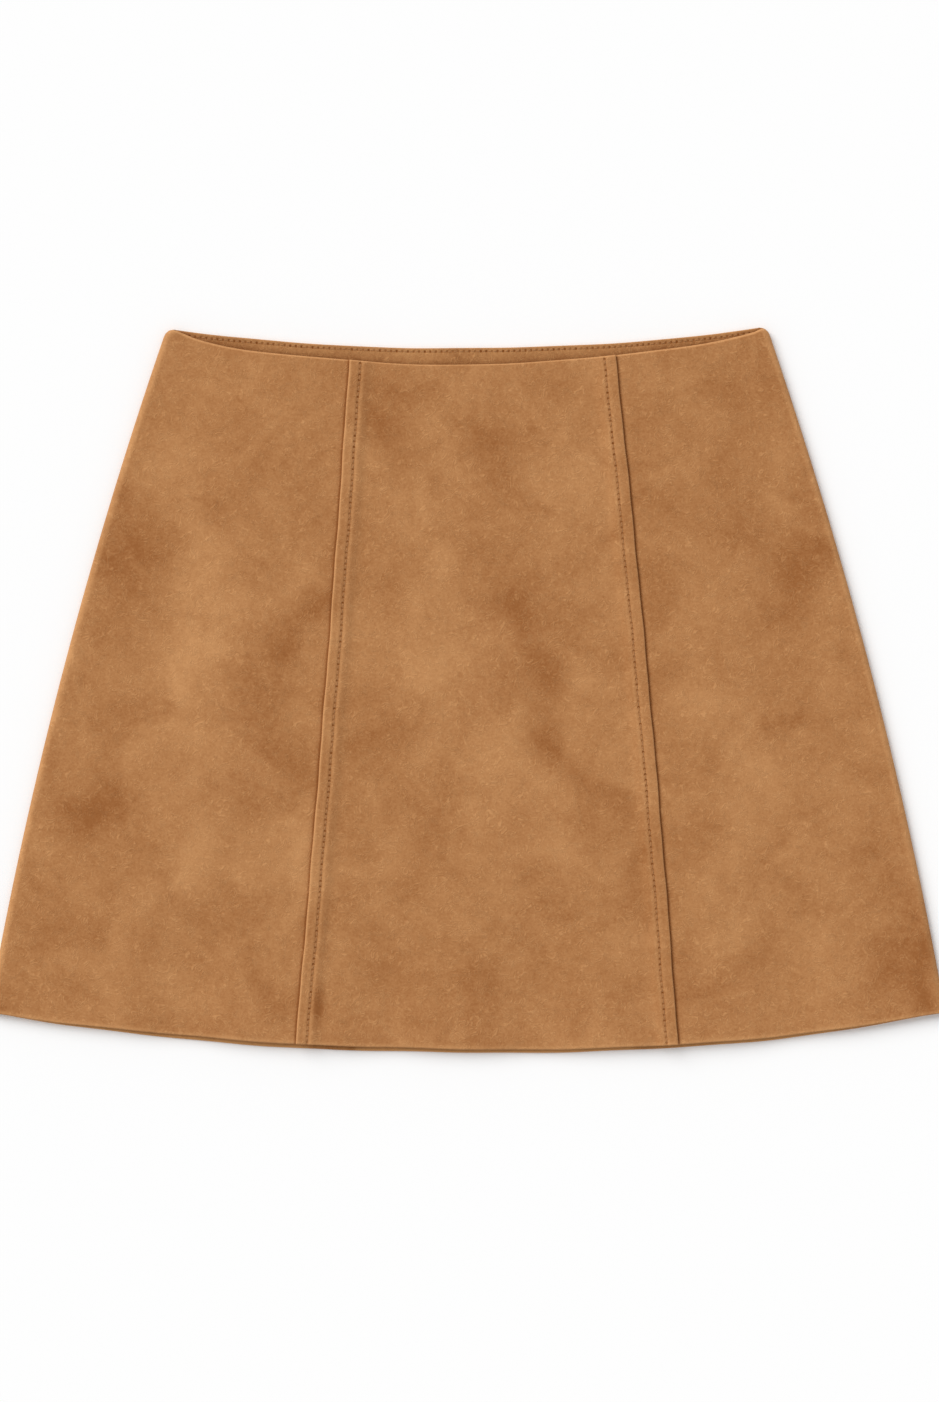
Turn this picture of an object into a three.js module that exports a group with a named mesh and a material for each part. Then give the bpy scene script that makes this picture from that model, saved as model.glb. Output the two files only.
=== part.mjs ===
// A-line mini skort in suede, laid flat on its back panel with the front uppermost.
// Three front panels, joined by two lapped and topstitched seams, lie on one back panel. Both turn
// round a soft fold at each side and meet there in the side seam. A facing backs each waist edge,
// and a plain pair of shorts hangs from the facings, between the front and the back.
//
// Millimetres. +X runs to the right of the garment as it is seen from above, +Y from hem to waist
// and +Z up from the surface that it lies on. The origin is under the middle of its outline.
// Left and right are as seen from above.
//
// A place on the garment is given by three numbers: along, the distance from the middle line
// measured round the side fold, share, from 0 at the waist edge to 1 at the hem, and out, the
// distance outwards from the middle of the suede.

import * as THREE from "three";

// Outline
const WAIST_HALF = 178; // half the width at the waist corners
const HEM_HALF = 283; // half the width at the hem corners
const SIDE_DROP = 402; // from the waist line down to the hem corners
const SIDE_BOW = 8.5; // how far the side line stands out from a straight one, halfway down
const CORNER_RADIUS = 4; // at the waist corners

// Each edge against the level line that its corners are near: how far each of its two corners
// stands above that line, and the depth, power (2 is a parabola, and more is fuller) and place
// across the garment of its dip below it.
const EDGES = {
  frontWaist: { leftCorner: 0.5, rightCorner: 1.4, dip: 20.7, power: 2.0, lowAt: -8 },
  backWaist: { leftCorner: 0.5, rightCorner: 1.4, dip: 10.5, power: 2.15, lowAt: -8 },
  frontHem: { leftCorner: 0, rightCorner: 0, dip: 21.8, power: 2.1, lowAt: 28 },
  backHem: { leftCorner: 0, rightCorner: 0, dip: 23.9, power: 2.3, lowAt: 19.5 },
};

// Cloth
const SUEDE = 1.2; // thickness of the panels
const INNER = 1.0; // thickness of the facings and of the shorts
const SEAM_GAP = 0.3; // between pieces that are sewn or lie together

// Side fold: front and back turn round it, with room for the four inner layers.
const FOLD_INSIDE = (SEAM_GAP * 3 + INNER * 2) / 2; // radius of the inner side
const FOLD_RADIUS = FOLD_INSIDE + SUEDE / 2; // to the middle of the suede
const FOLD_REACH = FOLD_RADIUS + SUEDE / 2; // from the fold's axis to the outline
const FOLD_HEIGHT = FOLD_REACH; // of the fold's axis above the surface

// Lapped front seams: where the centre panel's folded edge lies at the waist and at the hem, how
// far it bows to the right between them, and the width from that edge to the row of stitches.
const SEAMS = {
  left: { atWaist: -69.8, atHem: -101.3, bow: 1.2, lap: 6.5 },
  right: { atWaist: 87.0, atHem: 124.3, bow: 1.9, lap: 6.8 },
};
const UNDERLAP = 11; // how far a side panel runs under the centre panel
const LAP_THICKNESS = 2.0; // the centre panel's edge, pressed double
const LAP_STEP = 2.5; // the width over which it becomes single, at the stitches
const LAP_SLOPE = 5; // the width over which it comes down beside the underlap
const LAP_ROUND = { depth: 0.6, width: 0.8 }; // what the folded edge loses at its corners

// Height of the front above the level of its side folds
const LOFT = {
  upper: 2.2, // over the shorts
  hem: 0.8,
  edgeShare: 0.45, // the share of the half width over which it rises
  fallsFrom: 0.62, // shares of the way down between which the upper height becomes the hem's
  fallsTo: 0.95,
};

// Soft troughs that run up the front from its hem: their place and width across the hem, their
// depth there, and the share of the garment's length that they reach up.
const TROUGHS = [
  { at: -168, width: 74, depth: 1.5, reach: 0.3 },
  { at: -48, width: 58, depth: 1.2, reach: 0.22 },
  { at: 42, width: 88, depth: 1.6, reach: 0.36 },
  { at: 190, width: 80, depth: 1.3, reach: 0.26 },
];

// Inner pieces
const FACING_DEPTH = 35;
const SHORTS = {
  crotch: 0.6, // share of the way down at which the legs part
  legHem: 0.8, // and at which they end
  insetTop: 4, // how far the side lies inside the skirt's side fold, below the facing
  insetHem: 34, // the same at the leg hem
  legGap: 22, // between the two legs at their hems
};

// Cells across or down each piece
const CELLS = { panelRows: 12, facingRows: 2, back: 16, centre: 9, side: 8, fold: 4, shorts: 7 };

// The level line through the waist, above the origin
const WAIST_Y = (SIDE_DROP + EDGES.backHem.dip - EDGES.backWaist.rightCorner) / 2;

const lerp = (a, b, share) => a + (b - a) * share;

function smooth(value) {
  const v = THREE.MathUtils.clamp(value, 0, 1);
  return v * v * (3 - 2 * v);
}

function evenly(from, to, cells) {
  return Array.from({ length: cells + 1 }, (_, i) => lerp(from, to, i / cells));
}

// Half the garment's width at a share of the way down, with the waist corner rounded off.
function halfWidth(share) {
  const side = lerp(WAIST_HALF, HEM_HALF, share) + 4 * SIDE_BOW * share * (1 - share);
  const intoCorner = Math.max(0, CORNER_RADIUS - share * SIDE_DROP);
  return side - CORNER_RADIUS + Math.sqrt(CORNER_RADIUS ** 2 - intoCorner ** 2);
}

// Half the width between the side folds, where the cloth lies flat.
const flatHalf = (share) => halfWidth(share) - FOLD_REACH;

// How far an edge hangs below its level line at x, where the garment reaches half to each side.
function hang(edge, x, half) {
  const [end, corner] = x < edge.lowAt ? [-half, edge.leftCorner] : [half, edge.rightCorner];
  const away = THREE.MathUtils.clamp((x - edge.lowAt) / (end - edge.lowAt), 0, 1);
  return lerp(edge.dip, -corner, away ** edge.power);
}

function down(face, x, share) {
  const half = halfWidth(share);
  const waist = hang(EDGES[face + "Waist"], x, half);
  const hem = SIDE_DROP + hang(EDGES[face + "Hem"], x, half);
  return lerp(waist, hem, share);
}

function loft(x, share) {
  const fallen = smooth((share - LOFT.fallsFrom) / (LOFT.fallsTo - LOFT.fallsFrom));
  const top = lerp(LOFT.upper, LOFT.hem, fallen);
  const rise = top * smooth((1 - Math.abs(x) / flatHalf(share)) / LOFT.edgeShare);
  const atHem = (x * HEM_HALF) / halfWidth(share); // the same place across the hem
  return TROUGHS.reduce((height, trough) => {
    const beside = Math.abs(atHem - trough.at) / (trough.width / 2);
    const upward = (1 - share) / trough.reach;
    return height - trough.depth * smooth(1 - beside) * smooth(1 - upward);
  }, rise);
}

// The point of a face ("front" or "back") at a place along, share and out.
function placeOn(face, along, share, out) {
  const flat = flatHalf(share);
  const turn = Math.max(0, Math.abs(along) - flat) / FOLD_RADIUS; // radians round the side fold
  const radius = FOLD_RADIUS + out;
  const x = turn > 0 ? Math.sign(along) * (flat + radius * Math.sin(turn)) : along;
  const fromAxis = radius * Math.cos(turn);
  const lifted = turn > 0 ? fromAxis : fromAxis + loft(along, share);
  const z = face === "front" ? FOLD_HEIGHT + lifted : FOLD_HEIGHT - fromAxis;
  return new THREE.Vector3(x, WAIST_Y - down(face, x, share), z);
}

// A closed wall over a grid. columns(share) gives a row's places along, and shell(along, share)
// the distances out of the wall's two sides.
function wall(face, shares, columns, shell) {
  const rows = shares.length - 1;
  const cells = columns(shares[0]).length - 1;
  const upper = [];
  const lower = [];
  for (const share of shares) {
    for (const along of columns(share)) {
      const { outer, inner } = shell(along, share);
      const [above, below] = face === "front" ? [outer, inner] : [inner, outer];
      upper.push(placeOn(face, along, share, above));
      lower.push(placeOn(face, along, share, below));
    }
  }
  const over = (i, j) => j * (cells + 1) + i;
  const under = (i, j) => over(i, j) + upper.length;
  const index = [];
  const quad = (a, b, c, d) => index.push(a, b, c, a, c, d);
  for (let j = 0; j < rows; j++) {
    for (let i = 0; i < cells; i++) {
      quad(over(i, j), over(i, j + 1), over(i + 1, j + 1), over(i + 1, j));
      // Cut the same way as the cell above it, so that the wall is even.
      index.push(under(i, j), under(i + 1, j + 1), under(i, j + 1));
      index.push(under(i, j), under(i + 1, j), under(i + 1, j + 1));
    }
    quad(over(0, j + 1), over(0, j), under(0, j), under(0, j + 1));
    quad(over(cells, j), over(cells, j + 1), under(cells, j + 1), under(cells, j));
  }
  for (let i = 0; i < cells; i++) {
    quad(over(i, 0), over(i + 1, 0), under(i + 1, 0), under(i, 0));
    quad(over(i + 1, rows), over(i, rows), under(i, rows), under(i + 1, rows));
  }
  return new THREE.BufferGeometry().setFromPoints([...upper, ...lower]).setIndex(index);
}

// Rows of a wall that starts at the waist edge, closer together round the waist corners.
function sharesFromWaist(to, cells) {
  const corner = CORNER_RADIUS / SIDE_DROP;
  return [0, 0.3 * corner, ...evenly(corner, to, cells)];
}

const suedeShell = { outer: SUEDE / 2, inner: -SUEDE / 2 };
const innerShell = { outer: -SUEDE / 2 - SEAM_GAP, inner: -SUEDE / 2 - SEAM_GAP - INNER };

// Places along the quarter turn of a side fold, from the flat to the side seam.
function foldColumns(share, side) {
  const flat = flatHalf(share);
  const seamTurn = Math.PI / 2 - SEAM_GAP / 2 / FOLD_INSIDE; // radians
  return evenly(side * flat, side * (flat + FOLD_RADIUS * seamTurn), CELLS.fold);
}

function backPanelColumns(share) {
  const flat = flatHalf(share);
  const left = foldColumns(share, -1).reverse();
  const field = evenly(-flat, flat, CELLS.back).slice(1, -1);
  return [...left, ...field, ...foldColumns(share, 1)];
}

// A facing ends where the side folds begin.
function facingColumns(share) {
  return evenly(-flatHalf(share), flatHalf(share), CELLS.back);
}

// The centre panel's folded edge at a share.
function lapEdge(seam, share) {
  return lerp(seam.atWaist, seam.atHem, share) + 4 * seam.bow * share * (1 - share);
}

// Places along a side panel, from its side seam to its raw edge under the centre panel.
// side is -1 for the left panel and 1 for the right one.
function sidePanelColumns(seam, side) {
  const acrossSeam = [-6, -1, 3, 7, UNDERLAP]; // distances in from the folded edge that covers it
  return (share) => {
    const edge = lapEdge(seam, share);
    const covered = acrossSeam.map((inward) => edge - side * inward);
    const field = evenly(side * flatHalf(share), covered[0], CELLS.side).slice(1, -1);
    const columns = [...foldColumns(share, side).reverse(), ...field, ...covered];
    return side < 0 ? columns : columns.reverse();
  };
}

// Places along the centre panel's edge, where its section changes, from the folded edge inward.
function lapColumns(seam, share, side) {
  const stitches = seam.lap;
  const level = UNDERLAP + 1;
  const inward = [0, LAP_ROUND.width, stitches - 1, stitches + 1.5, level, level + LAP_SLOPE];
  return inward.map((distance) => lapEdge(seam, share) - side * distance);
}

function centrePanelColumns(share) {
  const left = lapColumns(SEAMS.left, share, -1);
  const right = lapColumns(SEAMS.right, share, 1);
  const field = evenly(left.at(-1), right.at(-1), CELLS.centre).slice(1, -1);
  return [...left, ...field, ...right.reverse()];
}

// The centre panel's edge lies on the side panel, folded double as far as the stitches, and the
// rest comes down to the side panels' own level.
function centrePanelShell(along, share) {
  const fromLeft = along - lapEdge(SEAMS.left, share);
  const fromRight = lapEdge(SEAMS.right, share) - along;
  const inward = Math.min(fromLeft, fromRight);
  const { lap } = fromLeft < fromRight ? SEAMS.left : SEAMS.right;
  const settled = smooth((inward - UNDERLAP - 1) / LAP_SLOPE);
  const single = smooth((inward - lap + 1) / LAP_STEP);
  const rounding = LAP_ROUND.depth * Math.max(0, 1 - inward / LAP_ROUND.width);
  const bottom = lerp(SUEDE / 2 + SEAM_GAP, -SUEDE / 2, settled);
  const thickness = lerp(LAP_THICKNESS, SUEDE, single);
  return { outer: bottom + thickness - rounding, inner: bottom + rounding };
}

// One panel of the shorts, from its side edge to the middle seam and, below the crotch, the
// inside of the leg. side is -1 for the left leg and 1 for the right one.
function shortsPanel(face, side) {
  const top = (FACING_DEPTH + SEAM_GAP) / SIDE_DROP;
  const columns = (share) => {
    const inset = lerp(SHORTS.insetTop, SHORTS.insetHem, (share - top) / (SHORTS.legHem - top));
    const outside = flatHalf(share) - inset;
    const below = Math.max(0, share - SHORTS.crotch) / (SHORTS.legHem - SHORTS.crotch);
    const inside = lerp(SEAM_GAP, SHORTS.legGap, below) / 2;
    const places = evenly(side * outside, side * inside, CELLS.shorts);
    return side < 0 ? places : places.reverse();
  };
  const upperRows = evenly(top, SHORTS.crotch, 7);
  const legRows = evenly(SHORTS.crotch, SHORTS.legHem, 3).slice(1);
  return wall(face, [...upperRows, ...legRows], columns, () => innerShell);
}

const cloth = (color, roughness) =>
  new THREE.MeshStandardMaterial({ color, roughness, metalness: 0 });
const frontSuede = cloth("#b17b4e", 0.95);
const backSuede = cloth("#aa7448", 0.95);
const facingSuede = cloth("#a56f42", 0.95);
const shortsJersey = cloth("#9a6a44", 0.85);

const skort = new THREE.Group();

function add(name, geometry, material) {
  geometry.computeVertexNormals();
  const mesh = new THREE.Mesh(geometry, material);
  mesh.name = name;
  skort.add(mesh);
}

const panelShares = sharesFromWaist(1, CELLS.panelRows);
const facingShares = sharesFromWaist(FACING_DEPTH / SIDE_DROP, CELLS.facingRows);

add("back_panel", wall("back", panelShares, backPanelColumns, () => suedeShell), backSuede);
for (const face of ["back", "front"]) {
  const facing = wall(face, facingShares, facingColumns, () => innerShell);
  add(`${face}_waist_facing`, facing, facingSuede);
  add(`shorts_${face}_left`, shortsPanel(face, -1), shortsJersey);
  add(`shorts_${face}_right`, shortsPanel(face, 1), shortsJersey);
}
for (const [name, side] of [["left", -1], ["right", 1]]) {
  const columns = sidePanelColumns(SEAMS[name], side);
  add(`front_${name}_panel`, wall("front", panelShares, columns, () => suedeShell), frontSuede);
}
const centrePanel = wall("front", panelShares, centrePanelColumns, centrePanelShell);
add("front_centre_panel", centrePanel, frontSuede);

export default skort;
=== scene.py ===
import bpy
import numpy as np
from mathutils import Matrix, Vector


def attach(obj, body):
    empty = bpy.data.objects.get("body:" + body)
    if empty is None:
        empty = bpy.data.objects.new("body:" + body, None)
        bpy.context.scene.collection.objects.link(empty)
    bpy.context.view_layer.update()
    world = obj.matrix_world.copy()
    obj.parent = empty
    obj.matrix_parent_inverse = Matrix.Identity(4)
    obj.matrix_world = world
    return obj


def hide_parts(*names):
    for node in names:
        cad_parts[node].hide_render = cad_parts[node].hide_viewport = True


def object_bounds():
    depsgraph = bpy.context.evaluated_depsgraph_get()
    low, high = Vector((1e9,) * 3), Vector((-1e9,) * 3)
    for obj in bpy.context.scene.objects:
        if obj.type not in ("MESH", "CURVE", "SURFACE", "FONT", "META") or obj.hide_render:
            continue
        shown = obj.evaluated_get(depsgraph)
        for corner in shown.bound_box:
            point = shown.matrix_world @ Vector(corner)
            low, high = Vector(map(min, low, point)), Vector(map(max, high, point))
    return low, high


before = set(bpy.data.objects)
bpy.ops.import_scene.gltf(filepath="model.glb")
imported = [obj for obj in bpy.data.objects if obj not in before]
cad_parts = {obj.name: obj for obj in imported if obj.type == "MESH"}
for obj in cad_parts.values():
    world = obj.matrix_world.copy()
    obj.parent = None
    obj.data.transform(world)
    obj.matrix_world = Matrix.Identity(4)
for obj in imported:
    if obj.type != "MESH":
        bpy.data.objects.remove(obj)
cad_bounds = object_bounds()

# Back panel
# One piece of suede that the garment lies on. Each side turns up round a soft fold to its side
# seam, and the waist and hem edges are turned in and thick. Its nap faces the surface below.
# Lengths are in millimetres, as on the paper pattern, and sew() makes them metres.

MM = 0.001
SUEDE = 1.2  # thickness
DOUBLE = 1.9  # thickness where an edge is turned in and pressed
PRESSED = 1.0  # how much narrower each pressed side fold lies than the flat pattern
WAIST_HALF = 178 - PRESSED
HEM_HALF = cad_bounds[1].x / MM - PRESSED
SIDE_DROP = 402
SIDE_BOW = 8.5
CORNER_RADIUS = 4
FOLD_RADIUS = 2.05  # to the middle of the suede
FOLD_REACH = FOLD_RADIUS + SUEDE / 2
SEAM_SHORT = 0.06  # radians from the side seam to the middle of the fold
HEM_TURN = 30  # width of the turned-in hem
HEM_BULK = 0.45  # how much of the double thickness shows in the turned-in hem

# Each edge against the level line that its corners are near: its two corners above that line,
# then the depth, power and place of its dip.
EDGES = {
    "front waist": dict(left=0.5, right=1.4, dip=20.7, power=2.0, low_at=-8),
    "back waist": dict(left=0.5, right=1.4, dip=10.5, power=2.15, low_at=-8),
    "front hem": dict(left=0, right=0, dip=21.8, power=2.1, low_at=28),
    "back hem": dict(left=0, right=0, dip=23.9, power=2.3, low_at=19.5),
}
WAIST_Y = cad_bounds[1].y / MM - EDGES["back waist"]["right"]


def blend(a, b, share):
    return a + (b - a) * share


def smooth(value):
    value = np.clip(value, 0, 1)
    return value * value * (3 - 2 * value)


def half_width(share):
    side = blend(WAIST_HALF, HEM_HALF, share) + 4 * SIDE_BOW * share * (1 - share)
    into_corner = np.clip(CORNER_RADIUS - share * SIDE_DROP, 0, CORNER_RADIUS)
    return side - CORNER_RADIUS + np.sqrt(CORNER_RADIUS**2 - into_corner**2)


def flat_half(share):
    return half_width(share) - FOLD_REACH


def hang(edge, x, half):
    """How far an edge hangs below its level line at x."""
    leftward = x < edge["low_at"]
    end = np.where(leftward, -half, half)
    corner = np.where(leftward, edge["left"], edge["right"])
    away = np.clip((x - edge["low_at"]) / (end - edge["low_at"]), 0, 1)
    return blend(edge["dip"], -corner, away ** edge["power"])


def down(face, x, share):
    """Distance from the waist's level line down to a share of the way to the hem."""
    half = half_width(share)
    waist = hang(EDGES[face + " waist"], x, half)
    hem = SIDE_DROP + hang(EDGES[face + " hem"], x, half)
    # Hand-cut edges wander a little, and the front's waist edge sags beside its corners.
    wander = 0.22 * np.sin(x / 23) + 0.16 * np.sin(x / 9.5 + 2)
    sag = 0 * x
    if face == "front":
        sag = 3.1 * np.exp(-(((x + 138) / 38) ** 2)) * smooth((x + WAIST_HALF) / 18)
        sag += 2.2 * np.exp(-(((x - 152) / 46) ** 2)) * smooth((WAIST_HALF - x) / 8)
    near_waist = (1 - share) ** 12
    return blend(waist, hem, share) + wander * (share**6 - 0.6 * near_waist) + sag * near_waist


def level(x, share):
    return 0 * x


def lay(face, along, share, out, rise=level):
    """Places on a face: along is measured round the side fold, out from the cloth's middle, and
    rise gives the height of the front above its folds."""
    flat = flat_half(share)
    turn = np.maximum(np.abs(along) - flat, 0) / FOLD_RADIUS
    radius = FOLD_RADIUS + out
    x = np.where(turn > 0, np.sign(along) * (flat + radius * np.sin(turn)), along)
    from_axis = radius * np.cos(turn)
    y = WAIST_Y - down(face, x, share)
    z = FOLD_REACH + from_axis + rise(along, share) if face == "front" else FOLD_REACH - from_axis
    return np.stack([x, y, z], -1)


RIM_TURNS = (0, 25, 50, 72)  # degrees round the rounded edge of a piece


def spaced(start, end, step, rim):
    """Places from start to end, closer together inside the rounded rims at both ends, and how
    much of the thickness there is at each."""
    turns = np.radians(RIM_TURNS)
    near = rim * (1 - np.cos(turns))
    cells = max(2, round((end - start - 2 * rim) / step))
    middle = np.linspace(start + rim, end - rim, cells + 1)
    places = np.concatenate([start + near, middle, (end - near)[::-1]])
    full = np.concatenate([np.sin(turns), np.ones(cells + 1), np.sin(turns)[::-1]])
    return places, full


# Patches where the nap is brushed light (above 0) or dark, and two of painted shade, marked
# below: their place across and down from the waist, half sizes, turn in degrees and strength.
NAP_AND_SHADE_PATCHES = [
    dict(x=-156, down=172, wide=24, long=52, turn=-8, tone=0.60),
    dict(x=-163, down=190, wide=15, long=24, turn=10, tone=0.40),
    dict(x=-163, down=315, wide=20, long=24, turn=20, tone=0.60),
    dict(x=-90, down=318, wide=22, long=24, turn=0, tone=0.40),
    dict(x=-180, down=388, wide=28, long=14, turn=0, tone=0.45),
    dict(x=-193, down=142, wide=15, long=27, turn=14, tone=-0.65),
    dict(x=-178, down=112, wide=18, long=11, turn=0, tone=-0.45),
    dict(x=-222, down=286, wide=18, long=26, turn=16, tone=-0.75),
    dict(x=-118, down=228, wide=19, long=50, turn=-10, tone=-0.50),
    dict(x=-88, down=173, wide=8, long=11, turn=0, tone=-0.70),
    dict(x=-98, down=197, wide=10, long=14, turn=0, tone=-0.60),
    dict(x=-45, down=50, wide=15, long=22, turn=0, tone=-0.45),
    dict(x=14, down=80, wide=17, long=22, turn=12, tone=-0.50),
    dict(x=-16, down=153, wide=14, long=84, turn=0, tone=0.40),
    dict(x=-22, down=197, wide=15, long=20, turn=0, tone=0.45),
    dict(x=73, down=65, wide=18, long=18, turn=0, tone=0.40),
    dict(x=28, down=271, wide=22, long=36, turn=-8, tone=0.50),
    dict(x=28, down=170, wide=13, long=16, turn=-30, tone=-0.60),
    dict(x=45, down=204, wide=12, long=24, turn=-20, tone=-0.75),
    dict(x=62, down=246, wide=12, long=19, turn=-25, tone=-0.75),
    dict(x=80, down=278, wide=12, long=20, turn=-30, tone=-0.55),
    dict(x=102, down=315, wide=13, long=22, turn=-15, tone=-0.55),
    dict(x=14, down=389, wide=26, long=14, turn=0, tone=-0.45),
    dict(x=161, down=270, wide=17, long=64, turn=-5, tone=0.55),
    dict(x=146, down=153, wide=24, long=16, turn=0, tone=0.40),
    dict(x=146, down=36, wide=24, long=13, turn=0, tone=-0.40),
    dict(x=191, down=139, wide=16, long=25, turn=-16, tone=-0.55),
    dict(x=120, down=224, wide=11, long=28, turn=-6, tone=-0.45),
    dict(x=250, down=360, wide=18, long=34, turn=-12, tone=-0.60),
    # painted shade where the lower right edge rounds down
    dict(x=273, down=374, wide=8, long=34, turn=-12, tone=-0.70),
    # painted shade in a soft crease beside the left seam near the hem
    dict(x=-87.5, down=396, wide=3.5, long=11, turn=3, tone=-1.50),
]
NARROW_PATCH = 5  # patches narrower than this, here only the painted shade of a soft crease, keep a plain oval outline


def brushed_nap_and_shade(x, below):
    """Lean of the nap, with the painted shade of two patches, at places across and below the waist
    line.
    """
    warp_x = x + 7 * np.sin(below / 19 + x / 47) + 4 * np.sin(below / 8.3 - x / 21)
    warp_y = below + 8 * np.sin(x / 17 + 1) + 4 * np.sin(x / 7.7 + below / 31)
    lean = 0 * x
    for patch in NAP_AND_SHADE_PATCHES:
        turn = np.radians(patch["turn"])
        plain = patch["wide"] < NARROW_PATCH
        dx = (x if plain else warp_x) - patch["x"]
        dy = (below if plain else warp_y) - patch["down"]
        u = (dx * np.cos(turn) + dy * np.sin(turn)) / patch["wide"]
        v = (dy * np.cos(turn) - dx * np.sin(turn)) / patch["long"]
        lean += patch["tone"] * np.exp(-(u**2 + v**2))
    return lean


def sew(
    name,
    face,
    along,
    shares,
    full,
    thickness,
    middle=0.0,
    rise=level,
    row=None,
    lean=0.0,
    edge_highlight=0.5,
):
    """A closed shell over a grid of places, from waist to hem and from side to side. full is the
    share of the thickness at each, 0 at the rims, where the two sides meet. row gives each
    place's distance from a row of stitches and its count along the row. lean, painted light and
    shade, is added to the nap, and a painted highlight of the given strength to the nap of the
    rims and beside the hem."""
    share = np.broadcast_to(shares[:, None], along.shape)
    rows, columns = along.shape
    outer = lay(face, along, share, middle + thickness / 2 * full, rise)
    inner = lay(face, along, share, middle - thickness / 2 * full, rise)
    # The outer side has a point at each place, and the inner one shares those on the rim.
    number = np.arange(rows * columns).reshape(rows, columns)
    rim = np.zeros((rows, columns), bool)
    rim[[0, -1]] = rim[:, [0, -1]] = True
    other = number.copy()
    other[~rim] = rows * columns + np.arange((~rim).sum())
    points = np.concatenate([outer.reshape(-1, 3), inner[~rim]]) * MM

    def faces(grid, flip):
        quads = np.stack([grid[:-1, :-1], grid[1:, :-1], grid[1:, 1:], grid[:-1, 1:]], -1)
        return quads.reshape(-1, 4)[:, ::-1] if flip else quads.reshape(-1, 4)

    quads = np.concatenate([faces(number, face == "back"), faces(other, face == "front")])
    mesh = bpy.data.meshes.new(name)
    mesh.from_pydata(points.tolist(), [], quads.tolist())
    mesh.shade_smooth()
    below = WAIST_Y - outer[..., 1]
    above_hem = (1 - share) * SIDE_DROP
    # painted highlight on the rims and in a thin line just above the hem
    edge_highlight_mask = np.maximum(full < 1, np.exp(-(((above_hem - 1.1) / 1.1) ** 2)))
    # The attribute holds the nap's own tone and also painted light and shade: the lean and the
    # painted rim highlight.
    nap_and_painted_light = brushed_nap_and_shade(outer[..., 0], below) + lean + edge_highlight * edge_highlight_mask
    values = np.concatenate([nap_and_painted_light.ravel(), nap_and_painted_light[~rim]])
    mesh.attributes.new("nap_and_painted_light", "FLOAT", "POINT").data.foreach_set("value", values)
    if row is not None:
        across, count = row
        flat = np.stack([across, count], -1)
        flat = np.concatenate([flat.reshape(-1, 2), flat[~rim]])
        corner = np.zeros(len(mesh.loops), np.int32)
        mesh.loops.foreach_get("vertex_index", corner)
        mesh.uv_layers.new(name="Row").data.foreach_set("uv", flat[corner].ravel())
    piece = bpy.data.objects.new(name, mesh)
    bpy.context.scene.collection.objects.link(piece)
    return piece


class Wire:
    """A socket of a node tree. Sums on it become Math nodes, and node() adds any other node."""

    def __init__(self, tree, socket=None):
        self.tree = tree
        self.socket = socket

    def node(self, kind, settings=(), sockets=(), output=0):
        made = self.tree.nodes.new(kind)
        for key, value in dict(settings).items():
            setattr(made, key, value)
        for key, value in dict(sockets).items():
            if isinstance(value, Wire):
                self.tree.links.new(value.socket, made.inputs[key])
            else:
                made.inputs[key].default_value = value
        return Wire(self.tree, made.outputs[output] if made.outputs else None)

    def maths(self, operation, a, b=0.0):
        return self.node("ShaderNodeMath", {"operation": operation}, {0: a, 1: b})

    def __add__(self, other):
        return self.maths("ADD", self, other)

    def __sub__(self, other):
        return self.maths("SUBTRACT", self, other)

    def __rsub__(self, other):
        return self.maths("SUBTRACT", other, self)

    def __mul__(self, other):
        return self.maths("MULTIPLY", self, other)

    def __truediv__(self, other):
        return self.maths("DIVIDE", self, other)

    def __pow__(self, other):
        return self.maths("POWER", self, other)

    __radd__ = __add__
    __rmul__ = __mul__


def dye(red, green, blue):
    """A colour given as it looks, from 0 to 255, as the shader's linear one."""
    looks = np.array([red, green, blue]) / 255
    linear = np.where(looks <= 0.04045, looks / 12.92, ((looks + 0.055) / 1.055) ** 2.4)
    return (*linear.tolist(), 1.0)


def blank_material(name):
    """A new material with nothing in it, and a wire to start from."""
    material = bpy.data.materials.new(name)
    material.use_nodes = True
    material.node_tree.nodes.clear()
    return material, Wire(material.node_tree)


def mixed(share, first, second):
    settings = {"data_type": "RGBA", "clamp_factor": True}
    return share.node("ShaderNodeMix", settings, {0: share, 6: first, 7: second}, output=2)


DEEP_NAP_AND_SHADE = (124, 67, 18)  # the darkest nap, and painted shade in creases, needle holes and cast shadows
HOLE_HALF = 0.8  # millimetres from the middle of a needle hole to its side
HOLE_SHARE = 0.27  # the same along the row, as a share of a stitch


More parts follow.
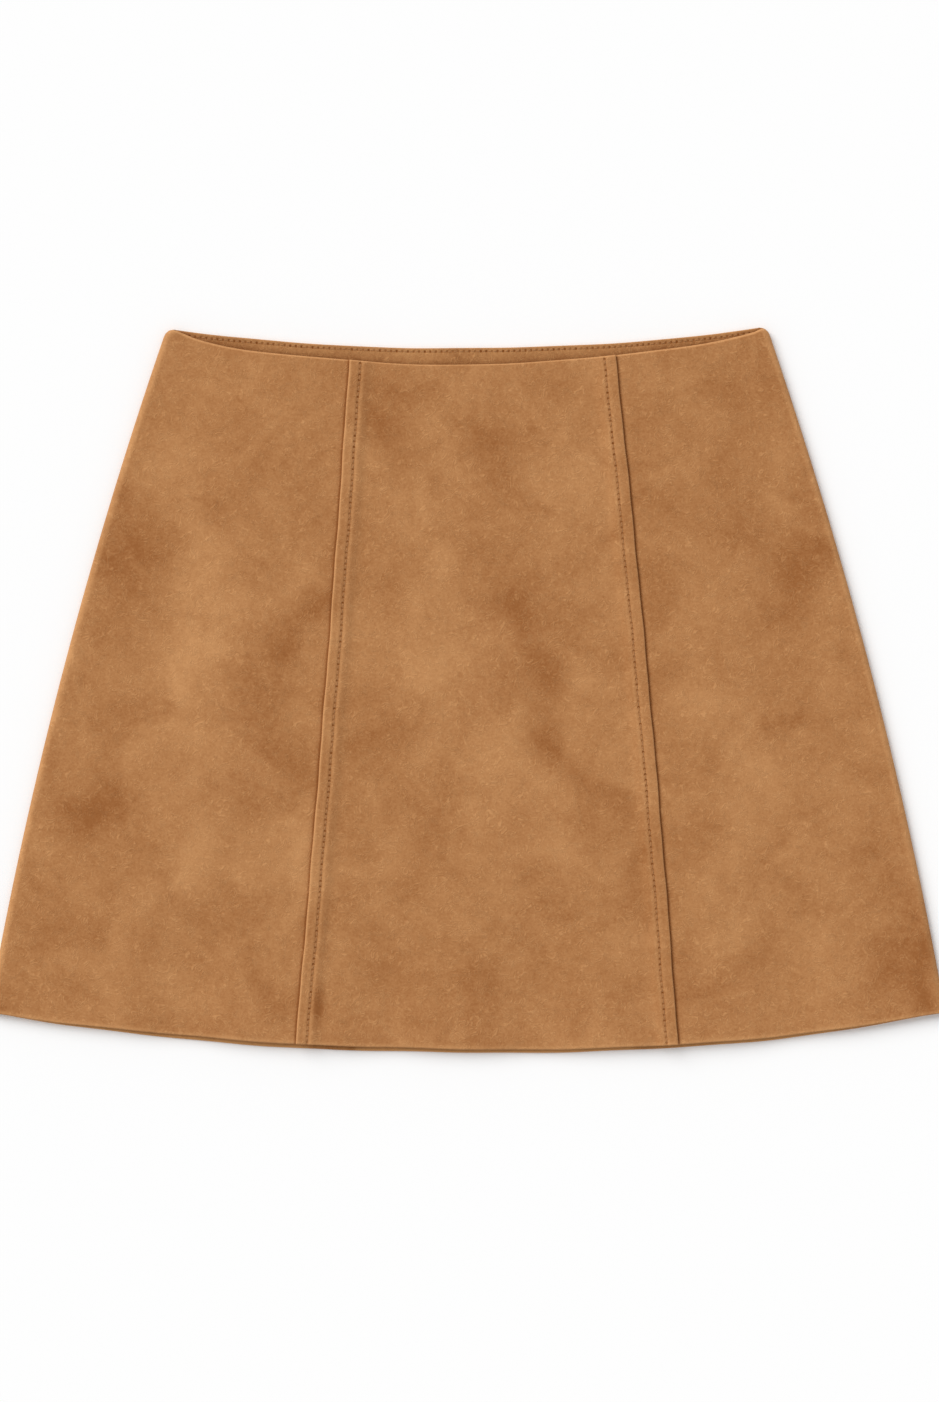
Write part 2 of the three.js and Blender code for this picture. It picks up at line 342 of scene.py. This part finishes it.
def suede(name, dark, light, stitched=False):
    """Brushed suede: nap that leans light or dark in soft clouds, with fine fibres and short
    curled strokes in it, and the painted light and shade that its nap attribute carries. Beside a
    row of stitches it has the needle's holes, painted dark as shade in them and along the row."""
    material, start = blank_material(name)
    place = start.node("ShaderNodeTexCoord", output="Object")

    def noise(scale, detail, rough=0.5, twist=0.0):
        sockets = {"Vector": place, "Scale": scale, "Detail": detail}
        sockets |= {"Roughness": rough, "Distortion": twist}
        return start.node("ShaderNodeTexNoise", (), sockets) - 0.5

    nap_and_painted_light = start.node("ShaderNodeAttribute", {"attribute_name": "nap_and_painted_light"}, output="Fac")
    clouds = noise(26, 5, 0.6, 0.6)
    tufts = noise(210, 3, 0.6)
    fibres = noise(700, 2, 0.8)
    # Curled strokes: thin contour lines of a slow noise, broken up by a second one.
    contour = start.maths("FRACT", noise(105, 1, 0.4, 1.5) * 11) - 0.5
    line = start.maths("MAXIMUM", 1 - start.maths("ABSOLUTE", contour) * 4, 0.0)
    broken = start.maths("MAXIMUM", noise(230, 1) * 6 + 0.5, 0.0)
    stroke = line * start.maths("MINIMUM", broken, 1.0) - 0.2
    tone = 0.5 + nap_and_painted_light * 0.47 + clouds * 1.25 + tufts * 0.42 + fibres * 0.85 + stroke * 0.36
    height = tufts * 0.2 + fibres * 0.15 + stroke * 0.3
    colour = mixed(tone, dye(*dark), dye(*light))
    # Below 0 the tone turns to the deep colour: the darkest nap, and painted shade where the nap
    # attribute carries it.
    colour = mixed(0 - tone, colour, dye(*DEEP_NAP_AND_SHADE))
    if stitched:
        row = start.node("ShaderNodeUVMap", {"uv_map": "Row"})
        across = start.node("ShaderNodeSeparateXYZ", (), {0: row}, output=0)
        count = start.node("ShaderNodeSeparateXYZ", (), {0: row}, output=1)
        beside = start.maths("ABSOLUTE", across)
        nearest = start.maths("FRACT", count) - 0.5
        uneven = start.node(
            "ShaderNodeTexWhiteNoise",
            {"noise_dimensions": "1D"},
            {"W": start.maths("FLOOR", count)},
        )
        hole = 1 - (beside / HOLE_HALF) ** 2 - (nearest / HOLE_SHARE) ** 2
        hole = start.maths("MINIMUM", start.maths("MAXIMUM", hole, 0.0) * 2.2, 1.0)
        hole = hole * (0.45 + uneven * 0.55)
        groove = start.maths("MAXIMUM", 1 - beside / 0.9, 0.0)
        # The needle holes and the groove are painted dark: painted shade in the holes and along
        # the row.
        colour = mixed(hole * 0.95 + groove * 0.1, colour, dye(*DEEP_NAP_AND_SHADE))
        height = height - hole * 0.6
    bump = start.node("ShaderNodeBump", (), {"Strength": 0.5, "Distance": 0.001, "Height": height})
    surface = start.node(
        "ShaderNodeBsdfPrincipled",
        (),
        {
            "Base Color": colour,
            "Normal": bump,
            "Roughness": 0.93,
            "Specular IOR Level": 0.18,
            "Sheen Weight": 0.12,
            "Sheen Roughness": 0.5,
            "Sheen Tint": dye(226, 190, 150),
        },
    )
    start.node("ShaderNodeOutputMaterial", (), {"Surface": surface})
    return material


ROW_STEP = 1.65  # between rows of the grids


def panel_rows():
    rows, full = spaced(0, SIDE_DROP, ROW_STEP, DOUBLE / 2)
    return rows / SIDE_DROP, full


def turned_in(shares):
    """Thickness of a panel at its rows, double where its waist and hem are turned in."""
    below = shares * SIDE_DROP
    waist = smooth((3.5 - below) / 1.2)
    hem = smooth(below - SIDE_DROP + HEM_TURN)
    return SUEDE + (DOUBLE - SUEDE) * np.maximum(waist, HEM_BULK * hem)


def to_side_seam(shares):
    """Distance from the middle of the garment round the side fold to its seam."""
    return flat_half(shares) + FOLD_RADIUS * (np.pi / 2 - SEAM_SHORT)


# Painted shadow on the back's hem strip, cast by the front's lifted hem: from and to, and how much
# darker it is.
HEM_SHADOWS = [
    dict(start=-94, end=-64, darker=1.3),
    dict(start=-22, end=-6, darker=0.4),
    dict(start=96, end=150, darker=0.7),
    dict(start=214, end=262, darker=0.8),
]
HEM_STRIP = 0.97  # share of the way down where the hem strip's painted light and shadow start
# painted light that lifts the back's hem strip where it shows below the front
HEM_PAINTED_LIGHT = 0.75

shares, down_full = panel_rows()
unit, across_full = spaced(-1, 1, 2.9 / HEM_HALF, 0.5 / HEM_HALF)
along = unit * to_side_seam(shares)[:, None]
thickness = turned_in(shares)[:, None]
# The back's hem strip is painted lighter, with darker stretches painted as shadow.
hem_light_and_shadow = np.full_like(along, HEM_PAINTED_LIGHT)
for stretch in HEM_SHADOWS:
    inside = smooth((along - stretch["start"]) / 3) * smooth((stretch["end"] - along) / 3)
    hem_light_and_shadow -= stretch["darker"] * inside
hem_light_and_shadow *= shares[:, None] > HEM_STRIP
back = sew(
    "back_panel_suede",
    "back",
    along,
    shares,
    down_full[:, None] * across_full,
    thickness,
    middle=(SUEDE - thickness) / 2,  # what is turned in lies on the inside
    lean=hem_light_and_shadow,
)
back.data.materials.append(suede("suede_back", (160, 102, 54), (204, 149, 95)))
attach(back, "root")
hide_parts("back_panel")

# Back waist facing
# A shaped band of the same suede sewn inside the back's waist edge. A row of understitches close
# below the edge keeps it from rolling out, and it shows above the front.

INNER = 1.0  # thickness of the facings and of the shorts
FACING_DEPTH = 35
FACING_MIDDLE = -(SUEDE + INNER) / 2 - 0.12
UNDERSTITCH = 2.0  # from the waist edge down to the row
STITCH = 3.3  # one stitch
GROOVE = 0.14  # how far a row of stitches pulls the suede down


def facing_grid():
    """Shares, places along, shares of the thickness and the understitched row of a facing."""
    depths, full_down = spaced(0, FACING_DEPTH, 0.8, INNER / 2)
    unit, full_across = spaced(-1, 1, 1.6 / WAIST_HALF, 0.5 / WAIST_HALF)
    shares = depths / SIDE_DROP
    along = unit * flat_half(shares)[:, None]
    from_row = np.broadcast_to(depths[:, None] - UNDERSTITCH, along.shape)
    return shares, along, full_down[:, None] * full_across, (from_row, along / STITCH)


shares, along, full, row = facing_grid()
groove = -GROOVE * np.exp(-((row[0] / 0.9) ** 2))
# Painted light makes it pale where it faces the light, and painted shade makes it dark close above
# the front's edge.
above_front = down("front", along, 0 * along) - down("back", along, shares[:, None])
in_shade = 0.35 * smooth((9 - above_front) / 9) + 0.7 * np.exp(-((above_front / 1.8) ** 2))
back_facing = sew(
    "back_waist_facing_suede",
    "back",
    along,
    shares,
    full,
    INNER + groove,
    middle=FACING_MIDDLE - groove / 2,
    row=row,
    lean=0.5 - in_shade,
)
facing_suede = suede("suede_facing", (137, 84, 42), (190, 137, 87), stitched=True)
back_facing.data.materials.append(facing_suede)
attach(back_facing, "root")
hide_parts("back_waist_facing")

# Inner shorts
# Four plain panels of fine jersey, cut to the skirt's lie and hung from the facings. Nothing of
# them shows while the garment lies flat.

SHORTS_TOP = FACING_DEPTH + 0.3
CROTCH = 0.6  # share of the side down to where the legs part
LEG_HEM = 0.8
LEG_GAP = 22
INSET_TOP = 4  # from the side fold, at the top and at the leg hem
INSET_HEM = 34


def jersey(name, dark, light):
    """Fine weft knit: ribs of tiny loops, even in colour."""
    material, start = blank_material(name)
    place = start.node("ShaderNodeTexCoord", output="Object")
    ribs = start.node(
        "ShaderNodeTexWave",
        {"bands_direction": "X"},
        {"Vector": place, "Scale": 220.0, "Distortion": 0.6, "Detail": 1.0},
        output="Fac",
    )
    loops = start.node(
        "ShaderNodeTexWave",
        {"bands_direction": "Y"},
        {"Vector": place, "Scale": 300.0, "Distortion": 1.0, "Detail": 1.0},
        output="Fac",
    )
    wear = start.node("ShaderNodeTexNoise", (), {"Vector": place, "Scale": 40.0, "Detail": 3.0})
    knit = ribs * 0.6 + loops * 0.4
    colour = mixed(knit * 0.5 + wear * 0.5, dye(*dark), dye(*light))
    bump = start.node("ShaderNodeBump", (), {"Strength": 0.4, "Distance": 0.0004, "Height": knit})
    surface = start.node(
        "ShaderNodeBsdfPrincipled",
        (),
        {"Base Color": colour, "Normal": bump, "Roughness": 0.85, "Specular IOR Level": 0.25},
    )
    start.node("ShaderNodeOutputMaterial", (), {"Surface": surface})
    return material


# The front's loft: its heights over the shorts and at the hem, the share of the half width in
# which it rises from the side fold, and the shares of the way down between which it falls.
LOFT = dict(upper=2.2, hem=0.8, edge_share=0.45, falls_from=0.62, falls_to=0.95)

# Soft troughs up the front from its hem, and low swells over the rest of it: their place across
# the hem, half width, depth (below 0 for a swell), and the shares between which they run.
TROUGHS = [
    dict(at=-168, half=37, depth=1.4, top=0.70, bottom=1.3),
    dict(at=-48, half=29, depth=1.1, top=0.78, bottom=1.22),
    dict(at=42, half=44, depth=1.5, top=0.64, bottom=1.36),
    dict(at=190, half=40, depth=1.2, top=0.74, bottom=1.26),
    dict(at=-215, half=34, depth=0.5, top=0.22, bottom=0.58),
    dict(at=-150, half=40, depth=-0.5, top=0.30, bottom=0.66),
    dict(at=58, half=34, depth=0.6, top=0.36, bottom=0.72),
    dict(at=-30, half=36, depth=-0.4, top=0.22, bottom=0.60),
    dict(at=165, half=36, depth=-0.5, top=0.34, bottom=0.90),
    dict(at=232, half=34, depth=0.5, top=0.20, bottom=0.52),
]


def front_rise(x, share):
    """Height of the front above its side folds: loft over the shorts, less the troughs."""
    fallen = smooth((share - LOFT["falls_from"]) / (LOFT["falls_to"] - LOFT["falls_from"]))
    top = blend(LOFT["upper"], LOFT["hem"], fallen)
    rise = top * smooth((1 - np.abs(x) / flat_half(share)) / LOFT["edge_share"])
    at_hem = x * HEM_HALF / half_width(share)
    for trough in TROUGHS:
        beside = np.abs(at_hem - trough["at"]) / trough["half"]
        middle = (trough["top"] + trough["bottom"]) / 2
        lengthwise = np.abs(share - middle) / (trough["bottom"] - middle)
        rise = rise - trough["depth"] * smooth(1 - beside) * smooth(1 - lengthwise)
    return rise


shorts_jersey = jersey("jersey_shorts", (140, 92, 56), (166, 116, 76))
for face, rise, lies_on in (
    ("back", level, "back_panel_suede"),
    ("front", front_rise, "shorts_back_{}_jersey"),
):
    for name, side in (("left", -1), ("right", 1)):
        depths, full_down = spaced(SHORTS_TOP, LEG_HEM * SIDE_DROP, 3.0, INNER / 2)
        shares = depths / SIDE_DROP
        fallen = (shares - shares[0]) / (shares[-1] - shares[0])
        outside = flat_half(shares) - blend(INSET_TOP, INSET_HEM, fallen)
        legs = np.maximum(0, shares - CROTCH) / (LEG_HEM - CROTCH)
        inside = blend(0.3, LEG_GAP, legs) / 2
        unit, full_across = spaced(0, 1, 0.014, 0.0025)
        along = side * blend(inside[:, None], outside[:, None], unit)
        along = along if side > 0 else along[:, ::-1]
        panel = sew(
            f"shorts_{face}_{name}_jersey",
            face,
            along,
            shares,
            full_down[:, None] * full_across,
            INNER,
            middle=-(SUEDE + INNER) / 2 - 0.3,
            rise=rise,
        )
        panel.data.materials.append(shorts_jersey)
        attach(panel, "root")
        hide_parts(f"shorts_{face}_{name}")

# Front waist facing
# The same shaped band as the back's, sewn inside the front's waist edge and understitched.

shares, along, full, row = facing_grid()
front_facing = sew(
    "front_waist_facing_suede",
    "front",
    along,
    shares,
    full,
    INNER,
    middle=FACING_MIDDLE - 0.1,
    rise=front_rise,
    row=row,
)
front_facing.data.materials.append(facing_suede)
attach(front_facing, "root")
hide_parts("front_waist_facing")

# Front side panels
# The left and right thirds of the front. Each wraps round its side fold to the side seam, and its
# raw inner edge runs under the centre panel's folded one.

# Each front seam: where the centre panel's folded edge lies at waist and hem, how far it bows,
# from the fold to the stitches, its side, and how dark the painted shadow beside the fold is.
SEAMS = {
    "left": dict(at_waist=-69.1, at_hem=-100.8, bow=1.2, lap=6.5, side=-1, lap_shadow=1.7),
    "right": dict(at_waist=87.4, at_hem=124.3, bow=1.9, lap=6.8, side=1, lap_shadow=1.6),
}
UNDERLAP = 11
NO_STITCHES = 50  # farther from a row than any hole reaches


def lap_edge(seam, share):
    """Where the centre panel's folded edge lies."""
    straight = blend(seam["at_waist"], seam["at_hem"], share)
    wander = 0.16 * np.sin(share * 31 + seam["bow"]) + 0.1 * np.sin(share * 83)
    return straight + 4 * seam["bow"] * share * (1 - share) + wander


front_suede = suede("suede_front", (152, 96, 51), (197, 143, 93), stitched=True)
for name, seam in SEAMS.items():
    side = seam["side"]
    shares, down_full = panel_rows()
    # Columns stand close together under and beside the lap, and wider apart out to the side.
    inside = side * lap_edge(seam, shares) - UNDERLAP
    fine, fine_full = spaced(0, UNDERLAP + 6, 0.45, SUEDE / 2)
    unit, unit_full = spaced(0, 1, 0.0125, 0.003)
    rim = len(RIM_TURNS)
    under = inside[:, None] + fine[:-rim]
    beyond = blend(under[:, -1:], to_side_seam(shares)[:, None], unit[rim:])
    along = side * np.hstack([under, beyond])
    across_full = np.concatenate([fine_full[:-rim], unit_full[rim:]])
    if side < 0:
        along, across_full = along[:, ::-1], across_full[::-1]
    thickness = turned_in(shares)[:, None]
    beside = side * (along - lap_edge(seam, shares)[:, None])
    press = 0.35 * np.exp(-((beside / 2.2) ** 2))  # the lap presses the panel down beside it
    # painted shadow beside the centre panel's folded edge
    lap_shadow = seam["lap_shadow"] * np.exp(-(((beside - 0.35) / 0.75) ** 2))
    past_flat = side * along - flat_half(shares)[:, None]
    side_fold_highlight = 0.8 * smooth((past_flat + 1.8) / 1.8)  # painted highlight along the side fold

    def side_rise(x, share, press=press):
        return front_rise(x, share) - press

    panel = sew(
        f"front_{name}_suede",
        "front",
        along,
        shares,
        down_full[:, None] * across_full,
        thickness,
        middle=(SUEDE - thickness) / 2,
        rise=side_rise,
        row=(np.full_like(along, NO_STITCHES), np.zeros_like(along)),
        lean=side_fold_highlight - lap_shadow,
        edge_highlight=0.9,
    )
    panel.data.materials.append(front_suede)
    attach(panel, "root")
    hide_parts(f"front_{name}_panel")

# Front centre panel
# The middle third of the front. Its long edges are folded under, lapped over the side panels and
# topstitched through all the layers, so the suede dips along both rows. The stitches follow below.

LAP = 1.75  # thickness of the folded edge
LAP_LIFT = 1.45  # its middle, above the middle of the side panels
SEAM_ROW_COUNT = 123  # stitches in each row
FIELD_COLUMNS = 72  # between the two laps


def lap_section(inward, lap):
    """Middle height and thickness across the lap, from its folded edge inward."""
    settled = smooth((inward - UNDERLAP + 3) / 7)
    single = smooth((inward - lap + 0.8) / 2.2)
    height = blend(LAP_LIFT, 0, settled) - 0.18 * single * (1 - settled)
    dip = 0.42 * np.exp(-(((inward - lap) / 1.05) ** 2))
    dip = dip + 0.16 * smooth(inward / lap) * (inward < lap)
    return height - dip, blend(LAP, SUEDE, single)


shares, down_full = panel_rows()
left = lap_edge(SEAMS["left"], shares)[:, None]
right = lap_edge(SEAMS["right"], shares)[:, None]
# Columns stand close together over each lap, round its folded edge first, and wider apart between.
near, near_full = spaced(0, 2 * LAP, 0.4, LAP / 2)
near, near_full = near[: len(near) // 2], near_full[: len(near) // 2]
fine = np.concatenate([near, np.arange(near[-1] + 0.4, 13, 0.42)])
fine_full = np.concatenate([near_full, np.ones(len(fine) - len(near))])
field = np.linspace(0, 1, FIELD_COLUMNS + 2)[1:-1]
along = np.concatenate(
    [left + fine, blend(left + fine[-1], right - fine[-1], field), right - fine[::-1]], 1
)
across_full = np.concatenate([fine_full, np.ones(len(field)), fine_full[::-1]])
from_left, from_right = along - left, right - along
nearer_left = from_left < from_right
inward = np.minimum(from_left, from_right)
lap = np.where(nearer_left, SEAMS["left"]["lap"], SEAMS["right"]["lap"])
lift, across_thick = lap_section(inward, lap)
thickness = np.maximum(across_thick, turned_in(shares)[:, None])
count = np.broadcast_to(shares[:, None] * SEAM_ROW_COUNT, along.shape)
# Painted highlight along the left fold, which faces the light, and where the suede rises beside
# both rows.
left_fold_highlight = 0.8 * np.exp(-(((inward - 0.6) / 0.8) ** 2)) * nearer_left
pucker_highlight = np.exp(-(((inward - lap - 1.7) / 0.8) ** 2))
pucker_highlight = pucker_highlight + 0.5 * np.exp(-(((inward - lap + 1.9) / 0.9) ** 2))


def centre_rise(x, share):
    return front_rise(x, share) + lift - (thickness - across_thick) / 2


centre = sew(
    "front_centre_suede",
    "front",
    along,
    shares,
    down_full[:, None] * across_full,
    thickness,
    rise=centre_rise,
    row=(inward - lap, count),
    lean=left_fold_highlight + 0.4 * pucker_highlight,
    edge_highlight=0.7,
)
centre.data.materials.append(front_suede)
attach(centre, "root")
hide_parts("front_centre_panel")

# Stitches
# Thread in the suede's own colour: a row of topstitches down each lap and a row of understitches
# along the back facing. Each stitch is a short bow that goes into the suede at both ends.


THREAD_LENGTH = 2.5
THREAD_RADIUS = 0.24
UNEVEN = 0.12  # how much longer or shorter a stitch may be, as a share


def stitch_tree():
    """Nodes that set stitches evenly along a line, as one mesh."""
    tree = bpy.data.node_groups.new("stitch_row", "GeometryNodeTree")
    for name, kind in (
        ("Line", "NodeSocketGeometry"),
        ("Count", "NodeSocketInt"),
        ("Length", "NodeSocketFloat"),
        ("Thread", "NodeSocketFloat"),
        ("Uneven", "NodeSocketFloat"),
        ("Material", "NodeSocketMaterial"),
    ):
        tree.interface.new_socket(name, in_out="INPUT", socket_type=kind)
    tree.interface.new_socket("Stitches", in_out="OUTPUT", socket_type="NodeSocketGeometry")
    start = Wire(tree)
    given = tree.nodes.new("NodeGroupInput")
    line, count, length, thread, uneven, material = (Wire(tree, s) for s in given.outputs[:6])
    curve = start.node("GeometryNodeMeshToCurve", (), {0: line})
    points = start.node("GeometryNodeResampleCurve", (), {"Curve": curve, "Count": count})
    tangent = start.node("GeometryNodeInputTangent")
    turn = start.node("FunctionNodeAlignEulerToVector", {"axis": "X"}, {"Vector": tangent})
    ends = [
        start.node("ShaderNodeCombineXYZ", (), {"X": length * end, "Y": 0.0, "Z": thread * -1.1})
        for end in (-0.5, 0.5)
    ]
    top = start.node("ShaderNodeCombineXYZ", (), {"X": 0.0, "Y": 0.0, "Z": thread * 1.6})
    bow = start.node(
        "GeometryNodeCurveQuadraticBezier",
        (),
        {"Resolution": 5, "Start": ends[0], "Middle": top, "End": ends[1]},
    )
    girth = start.node("GeometryNodeCurvePrimitiveCircle", (), {"Resolution": 5, "Radius": thread})
    stitch = start.node(
        "GeometryNodeCurveToMesh", (), {"Curve": bow, "Profile Curve": girth, "Fill Caps": True}
    )
    size = start.node(
        "FunctionNodeRandomValue",
        {"data_type": "FLOAT"},
        {2: 1 - uneven, 3: 1 + uneven, "Seed": 4},
        output=1,
    )
    placed = start.node(
        "GeometryNodeInstanceOnPoints",
        (),
        {"Points": points, "Instance": stitch, "Rotation": turn, "Scale": size},
    )
    real = start.node("GeometryNodeRealizeInstances", (), {0: placed})
    dyed = start.node("GeometryNodeSetMaterial", (), {"Geometry": real, "Material": material})
    tree.links.new(dyed.socket, tree.nodes.new("NodeGroupOutput").inputs[0])
    return tree


def thread_material():
    """Twisted thread, uneven in colour."""
    material, start = blank_material("thread")
    place = start.node("ShaderNodeTexCoord", output="Object")
    twist = start.node("ShaderNodeTexNoise", (), {"Vector": place, "Scale": 1800.0, "Detail": 1.0})
    colour = mixed(twist, dye(150, 98, 52), dye(196, 144, 96))
    bump = start.node("ShaderNodeBump", (), {"Strength": 0.5, "Distance": 0.0002, "Height": twist})
    surface = start.node(
        "ShaderNodeBsdfPrincipled",
        (),
        {"Base Color": colour, "Normal": bump, "Roughness": 0.7, "Specular IOR Level": 0.3},
    )
    start.node("ShaderNodeOutputMaterial", (), {"Surface": surface})
    return material


stitches = stitch_tree()
thread = thread_material()


def stitch_row(name, line, count):
    """A row of stitches along a line of places, as a plain mesh."""
    mesh = bpy.data.meshes.new(name + "_line")
    links = [(i, i + 1) for i in range(len(line) - 1)]
    mesh.from_pydata((line * MM).tolist(), links, [])
    guide = bpy.data.objects.new(name + "_line", mesh)
    bpy.context.scene.collection.objects.link(guide)
    modifier = guide.modifiers.new("stitches", "NODES")
    modifier.node_group = stitches
    values = {
        "Count": count,
        "Length": THREAD_LENGTH * MM,
        "Thread": THREAD_RADIUS * MM,
        "Uneven": UNEVEN,
        "Material": thread,
    }
    for item in stitches.interface.items_tree:
        if item.in_out == "INPUT" and item.name in values:
            modifier[item.identifier] = values[item.name]
    evaluated = guide.evaluated_get(bpy.context.evaluated_depsgraph_get())
    made = bpy.data.meshes.new_from_object(evaluated)
    made.shade_smooth()
    bpy.data.objects.remove(guide)
    row = bpy.data.objects.new(name, made)
    bpy.context.scene.collection.objects.link(row)
    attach(row, "root")
    return row


for name, seam in SEAMS.items():
    # A stitch lies between each two holes, and the holes are at the middle of each count.
    places = np.arange(1, SEAM_ROW_COUNT) / SEAM_ROW_COUNT
    x = lap_edge(seam, places) - seam["side"] * seam["lap"]
    height, thick = lap_section(np.full_like(places, seam["lap"]), seam["lap"])
    line = lay("front", x, places, thick / 2 + height, front_rise)
    row = stitch_row(f"{name}_seam_stitches", line, SEAM_ROW_COUNT - 1)

share = UNDERSTITCH / SIDE_DROP
reach = flat_half(share) - 3
places = np.arange(np.ceil(-reach / STITCH), np.floor(reach / STITCH) + 1) * STITCH
line = lay("back", places, np.full_like(places, share), FACING_MIDDLE - INNER / 2 + GROOVE * 0.7)
understitches = stitch_row("back_facing_stitches", line, len(places))

# Floor
# A plain pale table that the garment lies on. It keeps the garment's soft shadow.

FLOOR_HALF = 4.0  # metres
FLOOR_TOP = -0.2 * MM
corners = [(-1, -1), (1, -1), (1, 1), (-1, 1)]
floor_mesh = bpy.data.meshes.new("floor")
floor_mesh.from_pydata(
    [(x * FLOOR_HALF, y * FLOOR_HALF, FLOOR_TOP) for x, y in corners], [], [(0, 1, 2, 3)]
)
floor = bpy.data.objects.new("floor", floor_mesh)
bpy.context.scene.collection.objects.link(floor)
paper, start = blank_material("floor_paper")
matt = {"Base Color": (0.97, 0.97, 0.97, 1), "Roughness": 1.0, "Specular IOR Level": 0.0}
white = start.node("ShaderNodeBsdfPrincipled", (), matt)
start.node("ShaderNodeOutputMaterial", (), {"Surface": white})
floor_mesh.materials.append(paper)

# Light and camera
# A broad soft lamp at the upper left over plain light from all round, and a long lens that looks
# straight down.

KEY_POWER = 2.35
KEY_FROM = (-0.56, 0.56, 0.62)  # from the garment towards the lamp
KEY_SPREAD = 44  # degrees across
AMBIENT = 0.56  # of full white
LENS = 100.0
SENSOR = 36.0
VIEW_HEIGHT = 827.2 * MM  # what the camera takes in from top to bottom
VIEW_MIDDLE = (1.6 * MM, -6.3 * MM)

key_data = bpy.data.lights.new("key", "SUN")
key_data.energy = KEY_POWER
key_data.angle = np.radians(KEY_SPREAD)
key = bpy.data.objects.new("key", key_data)
bpy.context.scene.collection.objects.link(key)
key.rotation_euler = Vector(KEY_FROM).to_track_quat("Z", "Y").to_euler()

world = bpy.data.worlds.new("world")
bpy.context.scene.world = world
world.use_nodes = True
world.node_tree.nodes.clear()
start = Wire(world.node_tree)
seen = start.node("ShaderNodeLightPath", output="Is Camera Ray")
strength = AMBIENT + seen * (1 - AMBIENT)
light = start.node("ShaderNodeBackground", (), {"Color": (1, 1, 1, 1), "Strength": strength})
start.node("ShaderNodeOutputWorld", (), {"Surface": light})

camera_data = bpy.data.cameras.new("camera")
camera_data.lens = LENS
camera_data.sensor_width = SENSOR
camera = bpy.data.objects.new("camera", camera_data)
camera.location = (*VIEW_MIDDLE, VIEW_HEIGHT * LENS / SENSOR)
bpy.context.scene.collection.objects.link(camera)
bpy.context.scene.camera = camera
bpy.context.scene.view_settings.view_transform = "Standard"
